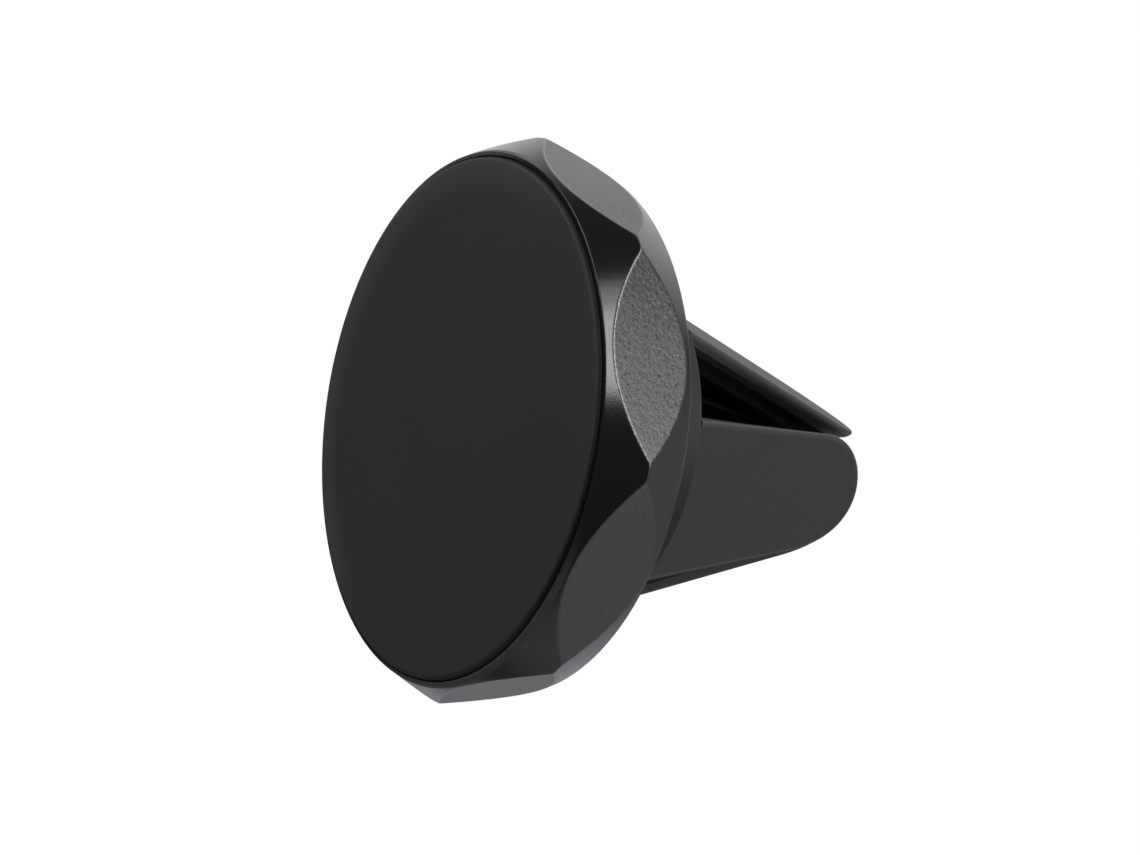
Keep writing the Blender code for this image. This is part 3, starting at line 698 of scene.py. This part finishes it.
def turnedPiece(name, profile, finish, steps):  # profile of radius, station and edge share, pole to pole
    shape = bmesh.new()
    edge = shape.verts.layers.float.new("edgeMask")
    rows = []
    for radius, station, share in profile:
        row = []
        for step in range(steps if radius > 0 else 1):
            angle = 2 * math.pi * step / steps
            vert = shape.verts.new((radius * math.cos(angle), station, radius * math.sin(angle)))
            vert[edge] = share
            row.append(vert)
        rows.append(row)
    for before, after in zip(rows, rows[1:]):
        for step in range(steps):
            following = (step + 1) % steps
            ends = [before[step % len(before)], after[step % len(after)]]
            ends += [after[following % len(after)], before[following % len(before)]]
            shape.faces.new(list(dict.fromkeys(ends)))
    bmesh.ops.recalc_face_normals(shape, faces=shape.faces)
    mesh = bpy.data.meshes.new(name)
    shape.to_mesh(mesh)
    shape.free()
    mesh.materials.append(finish)
    piece = bpy.data.objects.new(name, mesh)
    bpy.context.scene.collection.objects.link(piece)
    return piece


padSizes = {
    "radius": 19.0 * mm,
    "front": -13.8 * mm,
    "rear": -12.75 * mm,
    "edgeRound": 0.40 * mm,
    "edgeSteps": 12,
    "darkFrom": 0.30,  # share of the corner round, from the face, where the painted shade on the side begins
    "darkAt": 0.60,  # and where the painted shade is full
    "support": 0.12 * mm,
    "faceShares": (0.99, 0.93, 0.75, 0.5, 0.25),  # loops on the face, as shares of its flat radius
    "turnSteps": 192,
}


def makePad():
    s = padSizes
    inner = s["radius"] - s["edgeRound"]
    profile = [(radius, s["rear"], 1.0) for radius in (0.0, s["radius"] - s["support"], s["radius"])]
    corner = arc((inner, s["front"] + s["edgeRound"]), s["edgeRound"], 0, -90, s["edgeSteps"])
    for step, (radius, station) in enumerate(corner):
        # the painted shade on the side, kept as the edge share
        dark = (1 - step / s["edgeSteps"] - s["darkFrom"]) / (s["darkAt"] - s["darkFrom"])
        profile.append((radius, station, min(max(dark, 0.0), 1.0)))
    for share in s["faceShares"]:
        profile.append((inner * share, s["front"], 0.0))
    profile.append((0.0, s["front"], 0.0))
    return turnedPiece("facePad", profile, finishes["pad_silicone"], s["turnSteps"])


hang(smoothed(makePad()), "head", "pad_silicone", "face_pad")


fingerSizes = {
    "turns": (45.0, 135.0, 225.0, 315.0),
    "reach": 11.35 * mm,  # outer face from the axis, at the hub
    "tipReach": 3.87 * mm,
    "hubRear": -0.6 * mm,
    "rootGap": 0.12 * mm,
    "halfWidth": 6.42 * mm,
    "tip": (5.05 * mm, 7.9 * mm),  # half width and length of the oval tip
    "tipSkew": 0.85 * mm,  # the tip leans away from the level slot
    "length": 24.04 * mm,
    "plate": 1.3 * mm,
    "edgeRound": 0.25 * mm,
    "edgeSteps": 6,
    "sideDraft": 0.10 * mm,  # inset below the edge round
    "sideDepth": 0.80 * mm,  # the sides stand nearly square to here, then slope in
    "sideInset": 0.35 * mm,
    "sideShares": (0.0, 0.04, 0.3, 0.65),  # loops along a straight side, from the root
    "innerRound": 0.12 * mm,
    "innerLoops": (  # inset and rise, in inner rounds, and rib share
        (0.0, 1.0, 0.0),
        (0.6, 0.3, 0.5),
        (1.6, 0.0, 1.0),
        (3.0, 0.0, 1.0),
    ),
    "ribHalfWidth": 4.0 * mm,
    "ribTip": (2.1 * mm, 2.1 * mm),
    "ribSetback": 2.1 * mm,
    "ribHeight": 1.2 * mm,
    "ribOverlap": 0.3 * mm,
    "ribRound": 0.3 * mm,
    "ribDraft": (0.06 * mm, 0.20 * mm, 0.24 * mm),  # inset at the plate, above the round and at the round
    "support": 0.25 * mm,
    "tipSteps": 40,
    "ridgeCount": 6,
    "ridgePitch": 1.7 * mm,
    "firstRidge": 5.6 * mm,
    "ridgeSize": (2.0 * mm, 0.34 * mm, 0.24 * mm),
    "ridgeFaces": (20, 10),
}
fingerLean = math.asin((fingerSizes["reach"] - fingerSizes["tipReach"]) / fingerSizes["length"])


def fingerPoint(across, along, depth):  # width, way along the slant, and height over the outer face
    s = fingerSizes
    station = s["hubRear"] + along * math.cos(fingerLean) + depth * math.sin(fingerLean)
    height = s["reach"] - along * math.sin(fingerLean) + depth * math.cos(fingerLean)
    return Vector((across, station, height))


def tongue(halfWidth, tip, length, skew, inset, depth, rootInset=None):  # a loop with an oval tip
    s = fingerSizes
    rootInset = inset if rootInset is None else rootInset
    tipHalf, tipLength = tip
    squash = tipHalf / tipLength
    centre = (length - tipLength) * squash
    taper = math.acos(tipHalf / math.hypot(halfWidth, centre)) - math.atan2(centre, halfWidth)
    slope = math.tan(taper) * squash
    root = (s["rootGap"] - depth * math.sin(fingerLean)) / math.cos(fingerLean)
    rootHalf = halfWidth - root * slope - rootInset * math.hypot(1.0, slope)
    oval = []
    for step in range(s["tipSteps"] + 1):
        angle = taper + (math.pi - 2 * taper) * step / s["tipSteps"]
        across = (tipHalf - inset) * math.cos(angle) + skew * math.sin(angle) ** 2
        oval.append((across, length - tipLength + (tipLength - inset) * math.sin(angle)))
    near, far = [], []
    for share in s["sideShares"]:
        along = root + (oval[0][1] - root) * share
        near.append((rootHalf + (oval[0][0] - rootHalf) * share, along))
        far.append((-rootHalf + (oval[-1][0] + rootHalf) * share, along))
    return [fingerPoint(across, along, depth) for across, along in near + oval + far[::-1]]


def loft(shape, masks, layers):  # a closed shell through layers of a loop, its edge share and its rib share
    rings = []
    for loop, *shares in layers:
        ring = [shape.verts.new(point) for point in loop]
        for vert in ring:
            for layer, share in zip(masks, shares):
                vert[layer] = share
        rings.append(ring)
    faces = []
    for upper, lower in zip(rings, rings[1:]):
        for index in range(len(upper)):
            after = (index + 1) % len(upper)
            faces.append(shape.faces.new((upper[index], lower[index], lower[after], upper[after])))
    for ring in (rings[0], rings[-1][::-1]):  # caps in strips, side to side
        count = len(ring)
        for index in range(count // 2 - 1):
            ends = (ring[index], ring[index + 1], ring[count - 2 - index], ring[count - 1 - index])
            faces.append(shape.faces.new(list(dict.fromkeys(ends))))
    bmesh.ops.recalc_face_normals(shape, faces=faces)


def fingerMesh(skew):
    s = fingerSizes
    shape = bmesh.new()
    masks = [shape.verts.layers.float.new("edgeMask"), shape.verts.layers.float.new("ribMask")]
    size = (s["halfWidth"], s["tip"], s["length"], skew)
    layers = [(tongue(*size, s["edgeRound"] + s["support"], 0.0), 0.0, 0.0)]
    for inset, depth in arc((s["edgeRound"], -s["edgeRound"]), s["edgeRound"], 90, 180, s["edgeSteps"]):
        layers.append((tongue(*size, inset, depth), 1.0, 0.0))
    layers.append((tongue(*size, s["sideDraft"], -s["edgeRound"] - s["support"], 0.0), 0.0, 0.0))
    layers.append((tongue(*size, s["sideInset"], -s["sideDepth"], 0.0), 0.0, 0.0))
    slope = s["plate"] - s["edgeRound"] - s["innerRound"]
    ease = s["plate"] - s["sideDepth"]
    for drop, rise, share in s["innerLoops"]:
        inset = drop * s["innerRound"]
        loop = tongue(*size, slope + inset, rise * s["innerRound"] - s["plate"], ease + inset)
        layers.append((loop, 0.0, share))
    loft(shape, masks, layers)
    size = (s["ribHalfWidth"], s["ribTip"], s["length"] - s["ribSetback"], 0.0)
    inner = -s["plate"] - s["ribHeight"]
    plateDraft, wallDraft, endDraft = s["ribDraft"]
    rows = [
        (0.0, s["ribOverlap"] - s["plate"]),
        (plateDraft, -s["plate"]),
        (wallDraft, inner + s["ribRound"] + s["support"]),
    ]
    centre = (s["ribRound"] + endDraft, inner + s["ribRound"])
    rows += arc(centre, s["ribRound"], 180, 270, s["edgeSteps"])
    rows.append((s["ribRound"] + s["support"] + endDraft, inner))
    loft(shape, masks, [(tongue(*size, inset, depth), 0.0, 1.0) for inset, depth in rows])
    mesh = bpy.data.meshes.new("gripFinger")
    shape.to_mesh(mesh)
    shape.free()
    return mesh


def fingerTree():
    wire, given = newTree("gripFinger", {
        "Geometry": "Geometry", "Turn": "Float", "Ridge Count": "Int", "First Ridge": "Vector",
        "Ridge Step": "Vector", "Ridge Size": "Vector", "Lean": "Float", "Finish": "Material"})
    line = wire.make("GeometryNodeMeshLine", {"mode": "OFFSET"}, {
        "Count": given["Ridge Count"],
        "Start Location": given["First Ridge"],
        "Offset": given["Ridge Step"],
    })
    segments, rings = fingerSizes["ridgeFaces"]
    bead = wire.make("GeometryNodeMeshUVSphere", None, {"Segments": segments, "Rings": rings, "Radius": 1.0})
    bead = wire.make("GeometryNodeStoreNamedAttribute", {"data_type": "FLOAT", "domain": "POINT"}, {
        "Geometry": bead, "Name": "ribMask", "Value": 1.0})
    tilt = wire.make("ShaderNodeCombineXYZ", None, {"X": 0 - given["Lean"]})
    beads = wire.make("GeometryNodeInstanceOnPoints", None, {
        "Points": line, "Instance": bead, "Rotation": tilt, "Scale": given["Ridge Size"]})
    whole = wire.make("GeometryNodeJoinGeometry", None, {"Geometry": [given["Geometry"], beads]})
    turn = wire.make("ShaderNodeCombineXYZ", None, {"Y": given["Turn"]})
    placed = wire.make("GeometryNodeTransform", None, {"Geometry": whole, "Rotation": turn})
    endTree(wire, placed, given["Finish"])
    return wire.tree


fingerShapes = [fingerMesh(-fingerSizes["tipSkew"]), fingerMesh(fingerSizes["tipSkew"])]
fingerMaker = fingerTree()
ridgeDepth = -fingerSizes["plate"] - fingerSizes["ribHeight"]
for number, turn in enumerate(fingerSizes["turns"], start=1):
    start = fingerPoint(0.0, fingerSizes["firstRidge"], ridgeDepth)
    following = fingerPoint(0.0, fingerSizes["firstRidge"] + fingerSizes["ridgePitch"], ridgeDepth)
    finger = growTree(f"gripFinger{number}", fingerMaker, {
        "Turn": math.radians(turn),
        "Ridge Count": fingerSizes["ridgeCount"],
        "First Ridge": start,
        "Ridge Step": following - start,
        "Ridge Size": fingerSizes["ridgeSize"],
        "Lean": fingerLean,
        "Finish": finishes["clip_rubber"],
    }, fingerShapes[(number - 1) % 2].copy())
    hang(smoothed(finger), f"finger_{number}", "clip_rubber", f"finger_sleeve_{number}")


hubSizes = {
    "radius": 13.0 * mm,
    "front": -5.9 * mm,
    "rear": -0.6 * mm,
    "rearRound": 0.15 * mm,
    "rearSteps": 10,
    # shares of the edge wear and painted highlight on the rounds
    "rearWearHighlight": 0.15,
    "frontChamfer": 0.6 * mm,
    "frontWearHighlight": 0.8,
    "edgeSoft": 0.1 * mm,
    "edgeSteps": 4,
    "chamferSoft": (0.3, 0.7),  # shares of the soft edge, inward and forward of the chamfer's corner
    "seat": -1.6 * mm,
    "seatRadius": 4.973 * mm,
    "nutPocket": 4.173 * mm,
    "nutSides": 6,
    "nutFloor": -4.3 * mm,
    "bore": 2.08 * mm,
    "boreSides": 64,
    "overrun": 1.0 * mm,  # of a cut past the face that it opens
    "slotHalfWidth": 2.4 * mm,
    "slotStart": -2.3 * mm,
    "slotEnd": 3.0 * mm,
    "slotTop": -0.55 * mm,
    "slotBottom": -1.75 * mm,
    "support": 0.15 * mm,
    "turnSteps": 192,
}


def prism(shape, lower, upper):  # a closed block between two loops of points
    bottom = [shape.verts.new(point) for point in lower]
    top = [shape.verts.new(point) for point in upper]
    faces = [shape.faces.new(bottom), shape.faces.new(top[::-1])]
    for index in range(len(bottom)):
        after = (index + 1) % len(bottom)
        faces.append(shape.faces.new((bottom[index], top[index], top[after], bottom[after])))
    bmesh.ops.recalc_face_normals(shape, faces=faces)


def polygonAt(radius, sides, station):
    turns = [2 * math.pi * side / sides for side in range(sides)]
    return [Vector((radius * math.cos(turn), station, radius * math.sin(turn))) for turn in turns]


def hollowed(piece, builds):  # cuts each closed block out of the piece
    for number, build in enumerate(builds):
        shape = bmesh.new()
        prism(shape, *build)
        mesh = bpy.data.meshes.new("cutter")
        shape.to_mesh(mesh)
        shape.free()
        cutter = bpy.data.objects.new("cutter", mesh)
        bpy.context.scene.collection.objects.link(cutter)
        modifier = piece.modifiers.new(f"cut{number}", "BOOLEAN")
        modifier.operation = "DIFFERENCE"
        modifier.solver = "EXACT"
        modifier.object = cutter
        ready = piece.evaluated_get(bpy.context.evaluated_depsgraph_get())
        cut = bpy.data.meshes.new_from_object(ready)
        piece.modifiers.clear()
        piece.data = cut
        bpy.data.objects.remove(cutter)
    return piece


def makeHub():
    s = hubSizes
    soft = s["edgeSoft"]
    corner = s["radius"] - s["rearRound"]
    profile = [(0.0, s["seat"], 0.0), (s["seatRadius"], s["seat"], 0.0)]
    for radius, station in arc((s["seatRadius"] + soft, s["rear"] - soft), soft, 180, 90, s["edgeSteps"]):
        profile.append((radius, station, 0.0))
    profile.append((s["seatRadius"] + soft + s["support"], s["rear"], 0.0))
    profile.append((corner - s["support"], s["rear"], 0.0))
    rearArc = arc((corner, s["rear"] - s["rearRound"]), s["rearRound"], 90, 0, s["rearSteps"])
    for radius, station in rearArc:
        profile.append((radius, station, s["rearWearHighlight"]))
    profile.append((s["radius"], s["rear"] - s["rearRound"] - s["support"], 0.0))
    start = s["front"] + s["frontChamfer"]
    face = s["radius"] - s["frontChamfer"]
    profile.append((s["radius"], start + s["support"], 0.0))
    inward, forward = s["chamferSoft"]
    chamfer = [
        (s["radius"], start + soft),
        (s["radius"] - soft * inward, start),
        (s["radius"] - soft, start - soft * forward),
        (face + soft, s["front"] + soft),
        (face, s["front"]),
    ]
    profile += [(radius, station, s["frontWearHighlight"]) for radius, station in chamfer]
    profile.append((face - s["support"], s["front"], 0.0))
    profile.append((0.0, s["front"], 0.0))
    hub = turnedPiece("clipHub", profile, finishes["clip_rubber"], s["turnSteps"])
    pocketEnds = (s["nutFloor"], s["seat"] + s["overrun"])
    boreEnds = (s["front"] - s["overrun"], s["nutFloor"] + s["overrun"])
    builds = [
        [polygonAt(s["nutPocket"], s["nutSides"], station) for station in pocketEnds],
        [polygonAt(s["bore"], s["boreSides"], station) for station in boreEnds],
    ]
    half = s["slotHalfWidth"]
    corners = ((-half, s["slotStart"]), (half, s["slotStart"]), (half, s["slotEnd"]), (-half, s["slotEnd"]))
    for turn in fingerSizes["turns"]:
        spin = Matrix.Rotation(math.radians(turn), 3, "Y")
        loops = []
        for depth in (s["slotBottom"], s["slotTop"]):
            loops.append([spin @ fingerPoint(across, along, depth) for across, along in corners])
        builds.append(loops)
    return hollowed(hub, builds)


hang(smoothed(makeHub()), "clip", "clip_rubber", "clip_hub")


capSizes = {
    "radius": 4.823 * mm,
    "rear": 0.0,
    "front": -1.45 * mm,
    "edgeRound": 0.22 * mm,
    "edgeSteps": 8,
    "grooveRadius": 3.3 * mm,
    "grooveWidth": 0.22 * mm,  # from its middle to its edge
    "grooveDepth": 0.10 * mm,
    "grooveSteps": 4,
    # share of the edge wear and painted highlight in the groove
    "grooveWearHighlight": 0.4,
    "support": 0.12 * mm,
    "turnSteps": 128,
}


def makeCap():
    s = capSizes
    corner = s["radius"] - s["edgeRound"]
    profile = [(0.0, s["rear"], 0.0)]
    for step in range(-s["grooveSteps"], s["grooveSteps"] + 1):  # a shallow round groove
        share = step / s["grooveSteps"]
        dip = s["grooveDepth"] * (0.5 + 0.5 * math.cos(math.pi * share))
        profile.append((s["grooveRadius"] + s["grooveWidth"] * share, s["rear"] - dip, s["grooveWearHighlight"]))
    profile.append((corner - s["support"], s["rear"], 0.0))
    rearArc = arc((corner, s["rear"] - s["edgeRound"]), s["edgeRound"], 90, 0, s["edgeSteps"])
    for radius, station in rearArc:
        profile.append((radius, station, 1.0))
    profile.append((s["radius"], s["rear"] - s["edgeRound"] - s["support"], 0.0))
    profile.append((s["radius"], s["front"], 0.0))
    profile.append((0.0, s["front"], 0.0))
    return turnedPiece("hubCap", profile, finishes["clip_rubber"], s["turnSteps"])


hang(smoothed(makeCap()), "clip", "clip_rubber", "hub_cap")

slotOf = {part["node"]: part["material_slot"] for part in frame["record"]["subparts"]}
for name, node in frame["nodes"].items():  # each CAD node gets its finish, seen where no piece replaces it
    node.data.materials.clear()
    node.data.materials.append(finishes[slotOf[name]])
print("nodes finished:", len(frame["nodes"]))

cameraSettings = {
    "position": (140.3 * mm, -105.52 * mm, -65.59 * mm),
    "right": (0.5539, 0.8259, -0.1050),
    "up": (0.3515, -0.1177, 0.9288),
    "lens": 78.69,
    "sensor": 36.0,
    "clipStart": 1.0 * mm,
}


def makeCamera():
    s = cameraSettings
    right = Vector(s["right"]).normalized()
    ahead = Vector(s["up"]).cross(right).normalized()
    above = right.cross(ahead)
    lens = bpy.data.cameras.new("photoView")
    lens.lens = s["lens"]
    lens.sensor_width = s["sensor"]
    lens.sensor_fit = "HORIZONTAL"
    lens.clip_start = s["clipStart"]
    camera = bpy.data.objects.new("photoView", lens)
    bpy.context.scene.collection.objects.link(camera)
    turn = Matrix((right, above, -ahead)).transposed().to_4x4()
    camera.matrix_world = Matrix.Translation(s["position"]) @ turn
    bpy.context.scene.camera = camera


makeCamera()

floorSettings = {
    "height": -0.40,
    "size": 3.0,
    "cells": 8,
    "colour": (0.66, 0.66, 0.655),
    "patchShade": 0.97,
    "patchScale": 3.0,
    "centre": (-0.08, 0.20),
    "fadeStart": 0.22,  # the floor melts into the white beyond this
    "fadeEnd": 0.38,
}


def makeFloor():
    s = floorSettings
    shape = bmesh.new()
    bmesh.ops.create_grid(shape, x_segments=s["cells"], y_segments=s["cells"], size=s["size"] / 2)
    bmesh.ops.translate(shape, verts=shape.verts, vec=(0.0, 0.0, s["height"]))
    mesh = bpy.data.meshes.new("floor")
    shape.to_mesh(mesh)
    shape.free()
    floor = bpy.data.objects.new("floor", mesh)
    bpy.context.scene.collection.objects.link(floor)
    material, wire, coords = startFinish("paleFloor")
    place = wire.make("ShaderNodeSeparateXYZ", None, {"Vector": coords}, out="X")
    away, aside = place - s["centre"][0], place.side("Y") - s["centre"][1]
    reach = (away * away + aside * aside).calc("SQRT")
    cloud = noise(wire, coords, s["patchScale"], detail=3.0)
    pale = cloud.tint([channel * s["patchShade"] for channel in s["colour"]], s["colour"])
    paint = wire.make("ShaderNodeBsdfDiffuse", None, {"Color": pale})
    clear = wire.make("ShaderNodeBsdfTransparent")
    fade = reach.remap(s["fadeStart"], s["fadeEnd"], ease="SMOOTHSTEP")
    mixed = wire.make("ShaderNodeMixShader", None, {0: fade, 1: paint, 2: clear})
    wire.make("ShaderNodeOutputMaterial", None, {"Surface": mixed})
    mesh.materials.append(material)


makeFloor()

studioSettings = {  # levels of light, and the spans of direction over which they change
    "front": 0.05,
    "left": 0.36,
    "right": 0.52,
    "sideSpan": (-0.6, 0.6),
    "below": 0.4,
    "belowSpan": (-0.9, -0.3),
    "wallFall": (1.30, 0.55),  # the walls get darker upward
    "wallSpan": (-0.02, 0.30),
    "top": 0.90,
    "topSpan": (0.17, 0.5),
    "background": 1.0,
    "cool": (0.985, 0.975, 1.045),  # the walls are a little cooler than the top light
    "coolSpan": (0.10, 0.40),
    "white": (1.0, 1.0, 1.0),
    "depthStops": [(0.49, 0.0), (0.63, 1.0), (0.90, 1.0), (0.97, 0.52)],  # from front to back
    "rightStops": [(0.46, 0.0), (0.63, 1.0), (0.79, 1.0), (0.86, 0.15), (0.91, 0.15), (0.97, 0.52)],
    "rightSpan": (0.30, 0.50),
}
panelSettings = {  # direction, distance, width, height, radiance
    "coneStrip": ((0.93, -0.33, 0.134), 0.547, 0.075, 0.30, 5.5),
    "coneFade": ((0.93, -0.33, 0.524), 0.614, 0.075, 0.13, 2.7),  # softens the upper end of the strip
    "edgeStrip": ((0.95, 0.13, 0.22), 0.60, 0.070, 0.55, 7.5),
    "facetBox": ((0.121, 0.056, -0.025), 0.134, 0.060, 0.060, 3.1),
    "faceBox": ((-0.10, -0.80, 0.60), 0.75, 0.40, 0.40, 4.0),
}


def makeStudio():
    s = studioSettings
    world = bpy.data.worlds.new("studio")
    world.use_nodes = True
    world.node_tree.nodes.clear()
    wire = Wire(world.node_tree)
    way = wire.make("ShaderNodeTexCoord", out="Generated")
    place = wire.make("ShaderNodeSeparateXYZ", None, {"Vector": way}, out="X")
    depth, height = place.side("Y"), place.side("Z")
    station = depth * 0.5 + 0.5
    plain = wire.make("ShaderNodeValToRGB", {"stops": s["depthStops"]}, {"Fac": station})
    notched = wire.make("ShaderNodeValToRGB", {"stops": s["rightStops"]}, {"Fac": station})
    share = plain + place.remap(*s["rightSpan"], ease="SMOOTHSTEP") * (notched - plain)
    walls = place.remap(*s["sideSpan"], s["left"], s["right"], "SMOOTHSTEP")
    walls = walls * height.remap(*s["belowSpan"], s["below"], 1.0)
    walls = walls * height.remap(*s["wallSpan"], *s["wallFall"])
    walls = walls.most(height.remap(*s["topSpan"], 0.0, s["top"], "SMOOTHSTEP"))
    lit = s["front"] + share * (walls - s["front"])
    seen = wire.make("ShaderNodeLightPath", out="Is Camera Ray")
    strength = seen * s["background"] + (1 - seen) * lit
    hue = height.remap(*s["coolSpan"]).most(seen).tint(s["cool"], s["white"])
    sky = wire.make("ShaderNodeBackground", None, {"Color": hue, "Strength": strength})
    wire.make("ShaderNodeOutputWorld", None, {"Surface": sky})
    bpy.context.scene.world = world
    for name, (aim, distance, width, tall, radiance) in panelSettings.items():
        panel = bpy.data.lights.new(name, "AREA")
        panel.shape = "RECTANGLE"
        panel.size = width
        panel.size_y = tall
        panel.energy = radiance * math.pi * width * tall
        lamp = bpy.data.objects.new(name, panel)
        bpy.context.scene.collection.objects.link(lamp)
        lamp.location = Vector(aim).normalized() * distance
        lamp.rotation_euler = Vector(aim).to_track_quat("Z", "Y").to_euler()
        lamp.visible_camera = False
    bpy.context.scene.view_settings.view_transform = "Standard"
    bpy.context.scene.view_settings.look = "None"


makeStudio()
print("camera, floor and lights in place")
